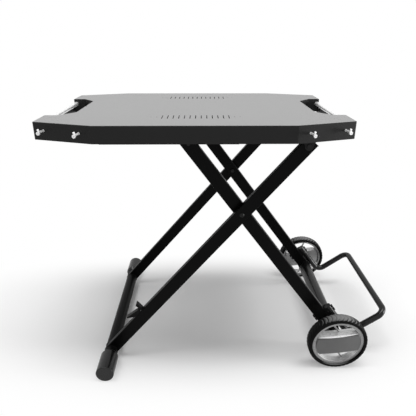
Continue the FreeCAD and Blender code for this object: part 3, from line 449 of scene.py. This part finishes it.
@dataclass(frozen=True)
class SilverPlastic:
    """Silver-painted moulded plastic: partly metal, satin, with fine turning lines, and a painted
    highlight on its upward faces.
    """

    name: str = "silver_plastic"
    # Mid grey where it faces sideways, and the painted highlight's near white where it faces up
    colour: float = 0.30
    lit: float = 0.95
    metal: float = 0.35
    roughness: float = 0.30
    lines: float = 260.0
    line_depth: float = 0.00006
    sheen: float = 0.5

    def material(self) -> bpy.types.Material:
        """Build the finish.

        Returns:
            The material.
        """
        graph = Graph(self.name)
        place = graph.place()
        flow = graph.noise(place, 22.0, 3.0)
        speck = graph.noise(place, 2600.0, 2.0)
        stretched = graph.noise(graph.place((0.3, 1.0, 0.3)), self.lines, 3.0)
        # Painted highlight: upward faces are painted near white, the rest mid grey
        shade = graph.blend(graph.facing_up(0.15, 0.65), grey(self.colour), grey(self.lit))
        cloudy = graph.scaled(shade, graph.spread(flow, MOST, (0.9, 1.1)))
        toned = graph.scaled(cloudy, graph.spread(speck, MOST, (0.94, 1.06)))
        graph.link(toned, graph.shader.inputs["Base Color"])
        rough = graph.spread(stretched, MOST, (self.roughness - 0.05, self.roughness + 0.07))
        graph.link(rough, graph.shader.inputs["Roughness"])
        graph.bump(stretched, self.line_depth, 0.6)
        graph.fixed(Metallic=self.metal, Specular_IOR_Level=self.sheen)
        return graph.material


@dataclass(frozen=True)
class Finishes:
    """Every finish on the table, by the slot that wears it."""

    sheet: SheetSteel = SheetSteel()
    legs: PowderCoat = PowderCoat("leg_paint", grey(0.0018), roughness=0.36, sheen=0.055)
    under: PowderCoat = PowderCoat("underside_paint", grey(0.012), roughness=0.5, sheen=0.1)
    tubes: PowderCoat = PowderCoat("tube_paint", grey(0.0025), roughness=0.24, sheen=0.3)
    bolts: PowderCoat = PowderCoat("black_bolts", grey(0.003), roughness=0.3, sheen=0.2)
    chrome: Polished = Polished(
        "chrome_plate", grey(0.92), roughness=0.24, marks=0.08, metal=0.5
    )
    zinc: Polished = Polished("zinc_plate", grey(0.55), roughness=0.28, marks=0.1)
    spring: Polished = Polished("spring_steel", grey(0.32), roughness=0.3, marks=0.1)
    caps: Moulded = Moulded("cap_plastic", grey(0.003), roughness=0.26, grain=900.0, sheen=0.34)
    black: Moulded = Moulded("black_plastic", grey(0.0025), roughness=0.38, sheen=0.08)
    nylon: Moulded = Moulded("white_nylon", grey(0.55), roughness=0.45)
    plate: Moulded = Moulded("grey_plate", grey(0.105), roughness=0.42, grain=700.0, sheen=0.4)
    tyre: Rubber = Rubber()
    rim: SilverPlastic = SilverPlastic()


SLOT_FINISH: dict[str, str] = {
    "top_steel": "sheet",
    "leg_steel": "legs",
    "inner_steel": "under",
    "chrome": "chrome",
    "zinc": "zinc",
    "spring": "spring",
    "black_steel": "bolts",
    "black_plastic": "black",
    "nylon": "nylon",
    "tyre": "tyre",
    "rim": "rim",
    "plate": "plate",
}

# Nodes with a finish of their own: the round tubes shine more than the legs

NODE_FINISH: dict[str, str] = {
    "stand_rod": "tubes",
    "axle_tube": "tubes",
    "foot_cap_near": "caps",
    "foot_cap_far": "caps",
}


class Wardrobe:
    """Builds each finish once and hands it out."""

    def __init__(self, finishes: Finishes) -> None:
        """Keep the finishes and start with none built."""
        self.finishes = finishes
        self.built: dict[str, bpy.types.Material] = {}

    def get(self, slot: str, node: str = "") -> bpy.types.Material:
        """The material for one slot of the record, or for one node.

        Args:
            slot: The slot's name.
            node: The node's name, where a node is dressed.

        Returns:
            Its material, built at first use.
        """
        finish = NODE_FINISH.get(node, SLOT_FINISH[slot])
        if finish not in self.built:
            self.built[finish] = getattr(self.finishes, finish).material()
        return self.built[finish]

    def dress(self, node: bpy.types.Object, name: str, slot: str) -> None:
        """Give a node's object its material in every place.

        Args:
            node: The node's object.
            name: The node's name.
            slot: The record's slot.
        """
        material = self.get(slot, name)
        if not node.material_slots:
            node.data.materials.append(material)
        for place in node.material_slots:
            place.material = material


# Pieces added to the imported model


class Sheet:
    """A mesh made of rows of points, which may close on themselves."""

    def __init__(self, name: str) -> None:
        """Start an empty mesh.

        Args:
            name: The piece's name.
        """
        self.name = name
        self.form = bmesh.new()

    def rows(
        self, rows: list[list[Vector]], closed_rows: bool = False, closed_ends: bool = False
    ) -> None:
        """Join rows of points with faces.

        Args:
            rows: The rows, all of one length.
            closed_rows: Whether each row's end joins its start.
            closed_ends: Whether the last row joins the first.
        """
        points = [[self.form.verts.new(point) for point in row] for row in rows]
        count = len(points[0])
        across = range(count if closed_rows else count - 1)
        along = range(len(points) if closed_ends else len(points) - 1)
        for i in along:
            this, following = points[i], points[(i + 1) % len(points)]
            for j in across:
                k = (j + 1) % count
                self.form.faces.new((this[j], this[k], following[k], following[j]))

    def piece(self, wardrobe: Wardrobe, slot: str, body: Body, smooth: float) -> bpy.types.Object:
        """Finish the mesh as a piece that rides on a body.

        Args:
            wardrobe: Hands out the finishes.
            slot: The record's slot that it takes the finish from.
            body: The body that it rides on.
            smooth: The angle in degrees past which an edge stays sharp.

        Returns:
            The new object.
        """
        bmesh.ops.remove_doubles(self.form, verts=self.form.verts, dist=MERGE_DISTANCE)
        bmesh.ops.recalc_face_normals(self.form, faces=self.form.faces)
        mesh = bpy.data.meshes.new(self.name)
        self.form.to_mesh(mesh)
        self.form.free()
        mesh.polygons.foreach_set("use_smooth", [True] * len(mesh.polygons))
        mesh.set_sharp_from_angle(angle=math.radians(smooth))
        mesh.materials.append(wardrobe.get(slot))
        made = bpy.data.objects.new(self.name, mesh)
        bpy.context.collection.objects.link(made)
        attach(made, body.value)
        LOG.info("piece: %s", self.name)
        return made


def middle_of(node: str) -> Vector:
    """The middle of a node's box at rest."""
    low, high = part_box(node)
    return (Vector(low) + Vector(high)) / 2


def span_of(node: str) -> Vector:
    """The size of a node's box at rest."""
    low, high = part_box(node)
    return Vector(high) - Vector(low)


@dataclass(frozen=True)
class TyreSkin:
    """A tyre with rounded shoulders and a chevron tread, in place of the plain one."""

    side: Side
    lugs: int = 44
    steps_per_lug: int = 8
    seat_half: float = 0.0135
    seat_depth: float = 0.0138
    swell_from: float = 0.010
    tread_share: float = 0.9
    roundness: float = 0.62
    groove_depth: float = 0.0012
    groove_share: float = 0.28
    lean: float = 0.9
    bead: float = 0.0006
    bead_rise: float = 0.0012
    section_steps: int = 26
    centre_rib: float = 0.0012
    smooth: float = 50.0

    def build(self, wardrobe: Wardrobe) -> bpy.types.Object:
        """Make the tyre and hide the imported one.

        Args:
            wardrobe: Hands out the finishes.

        Returns:
            The new object.
        """
        node = "tyre_" + self.side.word
        centre, span = middle_of(node), span_of(node)
        profile = self.profile(span.y / 2, span.z / 2)
        count = self.lugs * self.steps_per_lug
        rows = []
        for step in range(count):
            turn = 2 * math.pi * step / count
            row = []
            for across, out in profile:
                out -= self.tread(step / self.steps_per_lug, across, out, span)
                row.append(centre + Vector((out * math.sin(turn), across, out * math.cos(turn))))
            rows.append(row)
        sheet = Sheet("tyre_skin_" + self.side.word)
        sheet.rows(rows, closed_rows=True, closed_ends=True)
        body = Body["WHEEL_" + self.side.name]
        made = sheet.piece(wardrobe, "tyre", body, self.smooth)
        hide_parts(node)
        return made

    def profile(self, half: float, radius: float) -> list[tuple[float, float]]:
        """The tyre's section as pairs of across and out, closed.

        Args:
            half: Half the tyre's width.
            radius: The tyre's outer radius.

        Returns:
            The section's points.
        """
        base = radius - self.swell_from
        seat = radius - self.seat_depth
        foot = (half - self.bead, seat + self.bead_rise)
        points = [(-self.seat_half, seat), (-foot[0], foot[1])]
        for i in range(self.section_steps + 1):
            angle = math.pi * (i / self.section_steps - 0.5)
            across = half * math.copysign(abs(math.sin(angle)) ** self.roundness, math.sin(angle))
            out = base + (radius - base) * max(0.0, math.cos(angle)) ** self.roundness
            points.append((across, out))
        return points + [foot, (self.seat_half, seat)]

    def tread(self, phase: float, across: float, out: float, span: Vector) -> float:
        """How deep the tread is cut at a place.

        Args:
            phase: The place round the tyre, in lugs.
            across: The place across the tyre.
            out: The distance from the axle.
            span: The tyre's box.

        Returns:
            The depth of the cut.
        """
        if out < span.z / 2 - self.swell_from * self.tread_share or abs(across) < self.centre_rib:
            return 0.0
        share = (phase + self.lean * abs(across) / (span.y / 2)) % 1.0
        return self.groove_depth if share < self.groove_share else 0.0


@dataclass(frozen=True)
class BandRibs:
    """Thin half-round ribs along the top and underside of a wheel's cross band."""

    side: Side
    band_half: float = 0.035
    reach: float = 0.058
    radius: float = 0.0009
    spots: tuple[float, ...] = (-0.0105, -0.0035, 0.0035)
    turn: float = 7.0
    steps: int = 8
    smooth: float = 70.0

    def build(self, wardrobe: Wardrobe) -> bpy.types.Object:
        """Lay the ribs on both faces of the band.

        Args:
            wardrobe: Hands out the finishes.

        Returns:
            The new object.
        """
        word = self.side.word
        centre = middle_of("tyre_" + word)
        outwards = self.side.value
        lean = math.radians(self.turn)
        along = Vector((math.cos(lean), 0.0, math.sin(lean)))
        upright = Vector((-math.sin(lean), 0.0, math.cos(lean)))
        sheet = Sheet("band_ribs_" + word)
        for face in (-1, 1):
            for spot in self.spots:
                base = centre + upright * face * self.band_half
                base = base + Vector((0.0, -outwards * spot, 0.0))
                rows = []
                for end in (-self.reach, self.reach):
                    root = base + along * end
                    rows.append([root + self.arc(upright * face, k) for k in range(self.steps + 1)])
                sheet.rows(rows)
        return sheet.piece(wardrobe, "rim", Body["WHEEL_" + self.side.name], self.smooth)

    def arc(self, outward: Vector, step: int) -> Vector:
        """A point of the rib's half-round section.

        Args:
            outward: The direction in which the rib stands up.
            step: The point's number.

        Returns:
            The point, seen from the rib's root line.
        """
        angle = math.pi * step / self.steps
        across = Vector((0.0, 1.0, 0.0)) * math.cos(angle)
        return (across + outward * math.sin(angle)) * self.radius


@dataclass(frozen=True)
class WeldBead:
    """A rippled weld bead round a cross tube where a leg meets it."""

    tube: str
    leg: str
    body: Body
    thickness: float = 0.0016
    ripples: int = 60
    ripple_share: float = 0.18
    flatness: float = 0.9
    steps_per_ripple: int = 3
    section_steps: int = 6
    smooth: float = 60.0

    def build(self, wardrobe: Wardrobe) -> list[bpy.types.Object]:
        """Lay one bead on each face of the leg.

        Args:
            wardrobe: Hands out the finishes.

        Returns:
            The new objects.
        """
        tube, leg = middle_of(self.tube), middle_of(self.leg)
        radius = span_of(self.tube).z / 2
        half = span_of(self.leg).y / 2
        return [self.bead(wardrobe, tube, radius, leg.y + way * half, way) for way in (-1, 1)]

    def bead(
        self, wardrobe: Wardrobe, centre: Vector, radius: float, y: float, way: int
    ) -> bpy.types.Object:
        """Lay one bead: a thin ring with small waves along it.

        Args:
            wardrobe: Hands out the finishes.
            centre: The middle of the tube.
            radius: The tube's outer radius.
            y: Where the leg's face lies.
            way: Which way that face looks along Y.

        Returns:
            The new object.
        """
        rows = []
        count = self.ripples * self.steps_per_ripple
        for step in range(count):
            turn = 2 * math.pi * step / count
            swell = self.thickness * (1.0 + self.ripple_share * math.cos(self.ripples * turn))
            row = []
            for k in range(self.section_steps + 1):
                angle = math.pi * k / self.section_steps
                out = radius + swell * (1 + math.cos(angle)) / 2
                across = y + way * swell * math.sin(angle) * self.flatness
                x, z = centre.x + out * math.sin(turn), centre.z + out * math.cos(turn)
                row.append(Vector((x, across, z)))
            rows.append(row)
        side = "near" if y < 0 else "far"
        face = "outside" if way * y > 0 else "inside"
        sheet = Sheet("weld_%s_%s_%s" % (self.tube, side, face))
        sheet.rows(rows, closed_ends=True)
        return sheet.piece(wardrobe, "leg_steel", self.body, self.smooth)


class Additions:
    """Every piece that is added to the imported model."""

    def __init__(self, wardrobe: Wardrobe) -> None:
        """Keep the finishes that the pieces take.

        Args:
            wardrobe: Hands out the finishes.
        """
        self.wardrobe = wardrobe

    def build(self) -> None:
        """Make the tyres, the ribs in the wheels and the weld beads."""
        for side in Side:
            TyreSkin(side).build(self.wardrobe)
            BandRibs(side).build(self.wardrobe)
            WeldBead("foot_tube", "outer_leg_" + side.word, Body.OUTER_LEGS).build(self.wardrobe)
            WeldBead("axle_tube", "inner_leg_" + side.word, Body.INNER_LEGS).build(self.wardrobe)


# The studio: floor, background, lamps and camera


@dataclass(frozen=True)
class Lamp:
    """One rectangular area lamp."""

    name: str
    at: Point
    aim: Point
    size: Span
    power: float
    spread: float

    def hang(self) -> None:
        """Put the lamp in its place, turned towards what it lights."""
        light = bpy.data.lights.new(self.name, "AREA")
        light.shape = "RECTANGLE"
        light.size, light.size_y = self.size
        light.energy = self.power
        light.spread = math.radians(self.spread)
        lamp = bpy.data.objects.new(self.name, light)
        lamp.location = self.at
        ray = Vector(self.aim) - Vector(self.at)
        lamp.rotation_euler = ray.to_track_quat("-Z", "Y").to_euler()
        bpy.context.collection.objects.link(lamp)


@dataclass(frozen=True)
class Studio:
    """A plain pale room with soft light, seen from the photograph's place."""

    overhead: Lamp = Lamp(
        "overhead",
        at=(-0.12, -0.22, 4.0),
        aim=(-0.12, -0.12, 0.0),
        size=(5.0, 1.2),
        power=88.0,
        spread=150.0,
    )
    right_fill: Lamp = Lamp(
        "right_fill",
        at=(4.2, -0.9, 0.7),
        aim=(0.2, 0.0, 0.7),
        size=(1.4, 1.4),
        power=120.0,
        spread=180.0,
    )
    floor_size: float = 14.0
    floor_shade: float = 0.90
    floor_mottle: float = 0.03
    fade_start: float = 0.20
    fade_end: float = 0.50
    fade_stretch: Point = (0.3, 1.0, 1.0)
    world_light: float = 0.44
    eye: Point = (-0.08885, -1.3658, 1.0756)
    pitch: float = 22.07
    yaw: float = 0.78
    roll: float = -0.08
    focal_pixels: float = 407.08
    image_pixels: float = 416.0
    centre_row: float = 194.88
    sensor: float = 36.0
    nearest: float = 0.02

    def build(self) -> None:
        """Make the room."""
        self.floor()
        self.world()
        self.overhead.hang()
        self.right_fill.hang()
        self.camera()
        LOG.info("studio: floor, world, lamps and camera")

    def floor(self) -> None:
        """Lay the floor, white where the camera looks past the light."""
        mesh = bpy.data.meshes.new("floor")
        half = self.floor_size / 2
        corners = [(-half, -half, 0), (half, -half, 0), (half, half, 0), (-half, half, 0)]
        mesh.from_pydata(corners, [], [(0, 1, 2, 3)])
        floor = bpy.data.objects.new("floor", mesh)
        bpy.context.collection.objects.link(floor)
        graph = Graph("pale_floor")
        mottle = graph.noise(graph.place(), 3.0, 3.0)
        lightest = grey(self.floor_shade + self.floor_mottle)
        shade = graph.blend(mottle, grey(self.floor_shade), lightest)
        graph.link(shade, graph.shader.inputs["Base Color"])
        graph.fixed(Roughness=0.85, Specular_IOR_Level=0.1)
        self.fade(graph)
        mesh.materials.append(graph.material)

    def fade(self, graph: Graph) -> None:
        """Turn the floor white with distance, where it is seen and not where it lights.

        Args:
            graph: The floor's nodes.
        """
        output = next(n for n in graph.tree.nodes if n.bl_idname == "ShaderNodeOutputMaterial")
        length = graph.node("ShaderNodeVectorMath", operation="LENGTH")
        graph.link(graph.place(self.fade_stretch), length.inputs[0])
        far = graph.spread(length.outputs["Value"], (self.fade_start, self.fade_end), WHOLE)
        far.node.interpolation_type = "SMOOTHSTEP"
        share = graph.node("ShaderNodeMath", operation="MULTIPLY")
        graph.link(far, share.inputs[0])
        graph.link(self.background_rays(graph.tree), share.inputs[1])
        white = graph.node("ShaderNodeEmission")
        white.inputs["Strength"].default_value = 1.0
        white.inputs["Color"].default_value = (*grey(1.0), 1.0)
        mix = graph.node("ShaderNodeMixShader")
        graph.link(share.outputs["Value"], mix.inputs["Fac"])
        graph.link(graph.shader.outputs["BSDF"], mix.inputs[1])
        graph.link(white.outputs["Emission"], mix.inputs[2])
        graph.link(mix.outputs["Shader"], output.inputs["Surface"])

    def background_rays(self, tree: bpy.types.NodeTree) -> bpy.types.NodeSocket:
        """Tell the rays that show the background from those that carry light.

        Args:
            tree: The nodes to work in.

        Returns:
            The socket that is 1 for camera, transmission and glossy rays.
        """
        path = tree.nodes.new("ShaderNodeLightPath")
        either = tree.nodes.new("ShaderNodeMath")
        either.operation = "MAXIMUM"
        any_ray = tree.nodes.new("ShaderNodeMath")
        any_ray.operation = "MAXIMUM"
        tree.links.new(path.outputs["Is Camera Ray"], either.inputs[0])
        tree.links.new(path.outputs["Is Transmission Ray"], either.inputs[1])
        tree.links.new(either.outputs["Value"], any_ray.inputs[0])
        tree.links.new(path.outputs["Is Glossy Ray"], any_ray.inputs[1])
        return any_ray.outputs["Value"]

    def world(self) -> None:
        """Light from all round, seen as white by the camera and in metal."""
        world = bpy.data.worlds.new("studio_world")
        bpy.context.scene.world = world
        world.use_nodes = True
        tree = world.node_tree
        tree.nodes.clear()
        output = tree.nodes.new("ShaderNodeOutputWorld")
        mix = tree.nodes.new("ShaderNodeMixShader")
        seen = tree.nodes.new("ShaderNodeBackground")
        seen.inputs["Color"].default_value = (*grey(1.0), 1.0)
        seen.inputs["Strength"].default_value = 1.0
        lit = tree.nodes.new("ShaderNodeBackground")
        lit.inputs["Color"].default_value = (*grey(1.0), 1.0)
        lit.inputs["Strength"].default_value = self.world_light
        tree.links.new(self.background_rays(tree), mix.inputs["Fac"])
        tree.links.new(lit.outputs["Background"], mix.inputs[1])
        tree.links.new(seen.outputs["Background"], mix.inputs[2])
        tree.links.new(mix.outputs["Shader"], output.inputs["Surface"])

    def camera(self) -> None:
        """Stand the camera where the photograph was taken."""
        lens = bpy.data.cameras.new("camera")
        lens.sensor_fit = "HORIZONTAL"
        lens.sensor_width = self.sensor
        lens.lens = self.sensor * self.focal_pixels / self.image_pixels
        lens.shift_y = (self.centre_row - (self.image_pixels - 1) / 2) / self.image_pixels
        lens.clip_start = self.nearest
        camera = bpy.data.objects.new("camera", lens)
        turn = Matrix.Rotation(-math.radians(self.yaw), 3, "Z")
        tilt = Matrix.Rotation(math.radians(90 - self.pitch), 3, "X")
        spin = Matrix.Rotation(-math.radians(self.roll), 3, "Z")
        camera.matrix_world = Matrix.Translation(self.eye) @ (turn @ tilt @ spin).to_4x4()
        bpy.context.collection.objects.link(camera)
        bpy.context.scene.camera = camera
        bpy.context.scene.view_settings.view_transform = "Standard"


def main() -> None:
    """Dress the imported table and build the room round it."""
    logging.basicConfig(level=logging.INFO, format="%(name)s: %(message)s")
    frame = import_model()
    wardrobe = Wardrobe(Finishes())
    for part in frame["record"]["subparts"]:
        wardrobe.dress(frame["nodes"][part["node"]], part["node"], part["material_slot"])
    Additions(wardrobe).build()
    Studio().build()


if __name__ == "__main__":
    main()
